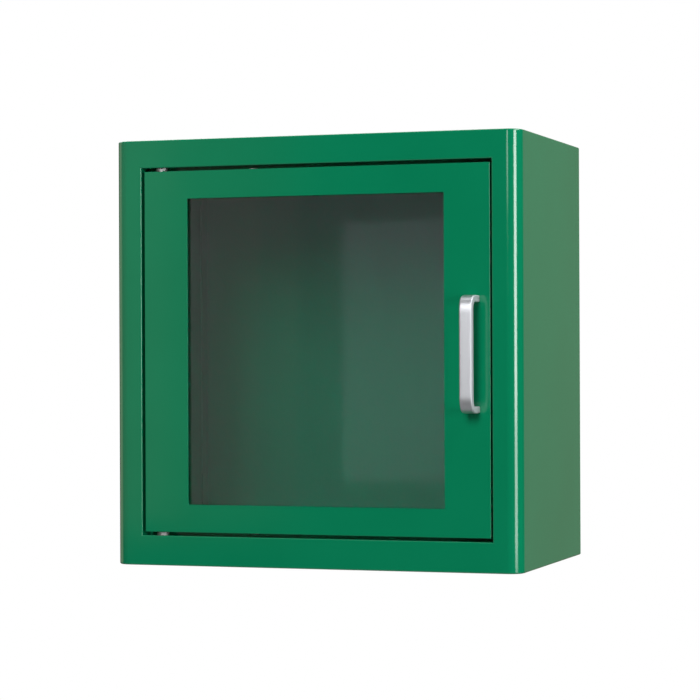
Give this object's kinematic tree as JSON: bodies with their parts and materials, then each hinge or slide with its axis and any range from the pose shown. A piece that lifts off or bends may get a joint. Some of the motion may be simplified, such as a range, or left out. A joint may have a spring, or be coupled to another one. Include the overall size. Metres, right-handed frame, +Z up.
{
  "type": "defibrillator wall cabinet",
  "caption": "Wall-hung green steel cabinet that houses a defibrillator: windowed door on pivots, bar pull handle, magnetic catches and a door alarm.",
  "frame": {"origin": "centre of the rear face, the face that lies against the wall", "axes": "+X to the right of someone facing the door, +Y into the wall, +Z up; the door is at -Y"},
  "size_m": [0.38, 0.2465, 0.384],
  "materials": {
    "green_powder_coat": "satin powder coat, bright green",
    "tinted_pane": "smoke-grey clear plastic sheet, gloss",
    "satin_aluminium": "satin anodised",
    "zinc_plate": "bright zinc plate",
    "nickel_plate": "nickel plate",
    "black_rubber": "matt",
    "foam_tape": "matt closed-cell foam",
    "black_plastic": "matt",
    "circuit_board": "green solder mask",
    "battery_sleeve": "plain printed sleeve"
  },
  "bodies": {
    "cabinet": {"left_side_sheet": "green_powder_coat", "right_side_sheet": "green_powder_coat", "top_sheet": "green_powder_coat", "bottom_sheet": "green_powder_coat", "back_sheet": "green_powder_coat", "upper_pivot_stud": "zinc_plate", "lower_pivot_stud": "zinc_plate", "lower_pivot_washer": "zinc_plate", "pivot_nuts": "zinc_plate", "catch_magnets": "nickel_plate", "catch_screws": "zinc_plate", "catch_nuts": "zinc_plate", "door_buffers": "black_rubber", "alarm_pad": "foam_tape", "alarm_housing": "black_plastic", "alarm_cover": "black_plastic", "alarm_screws": "zinc_plate", "alarm_board": "circuit_board", "alarm_sounder": "black_plastic", "alarm_batteries": "battery_sleeve", "battery_contacts": "nickel_plate", "switch_body": "nickel_plate"},
    "door": {"door_pan": "green_powder_coat", "glazing_tape": "foam_tape", "window_pane": "tinted_pane", "pane_studs": "zinc_plate", "pane_nuts": "zinc_plate", "upper_pane_strip": "zinc_plate", "lower_pane_strip": "zinc_plate", "left_pane_strip": "zinc_plate", "right_pane_strip": "zinc_plate", "upper_hinge_strap": "zinc_plate", "lower_hinge_strap": "zinc_plate", "hinge_rivets": "zinc_plate", "upper_pivot_washer": "zinc_plate", "door_strikes": "green_powder_coat", "handle": "satin_aluminium", "handle_screws": "zinc_plate", "handle_washers": "zinc_plate", "sensor_magnet": "black_plastic"},
    "alarm_switch": {"switch_slider": "black_plastic"}
  },
  "joints": [
    {"name": "door_hinge", "type": "hinge", "parent": "cabinet", "child": "door", "pos_m": [-0.1465, -0.2115, 0], "axis": [0, 0, -1], "range_deg": [0, 120]},
    {"name": "alarm_switch_slide", "type": "slide", "parent": "cabinet", "child": "alarm_switch", "axis": [0, 1, 0], "range_m": [0, 0.004]}
  ]
}
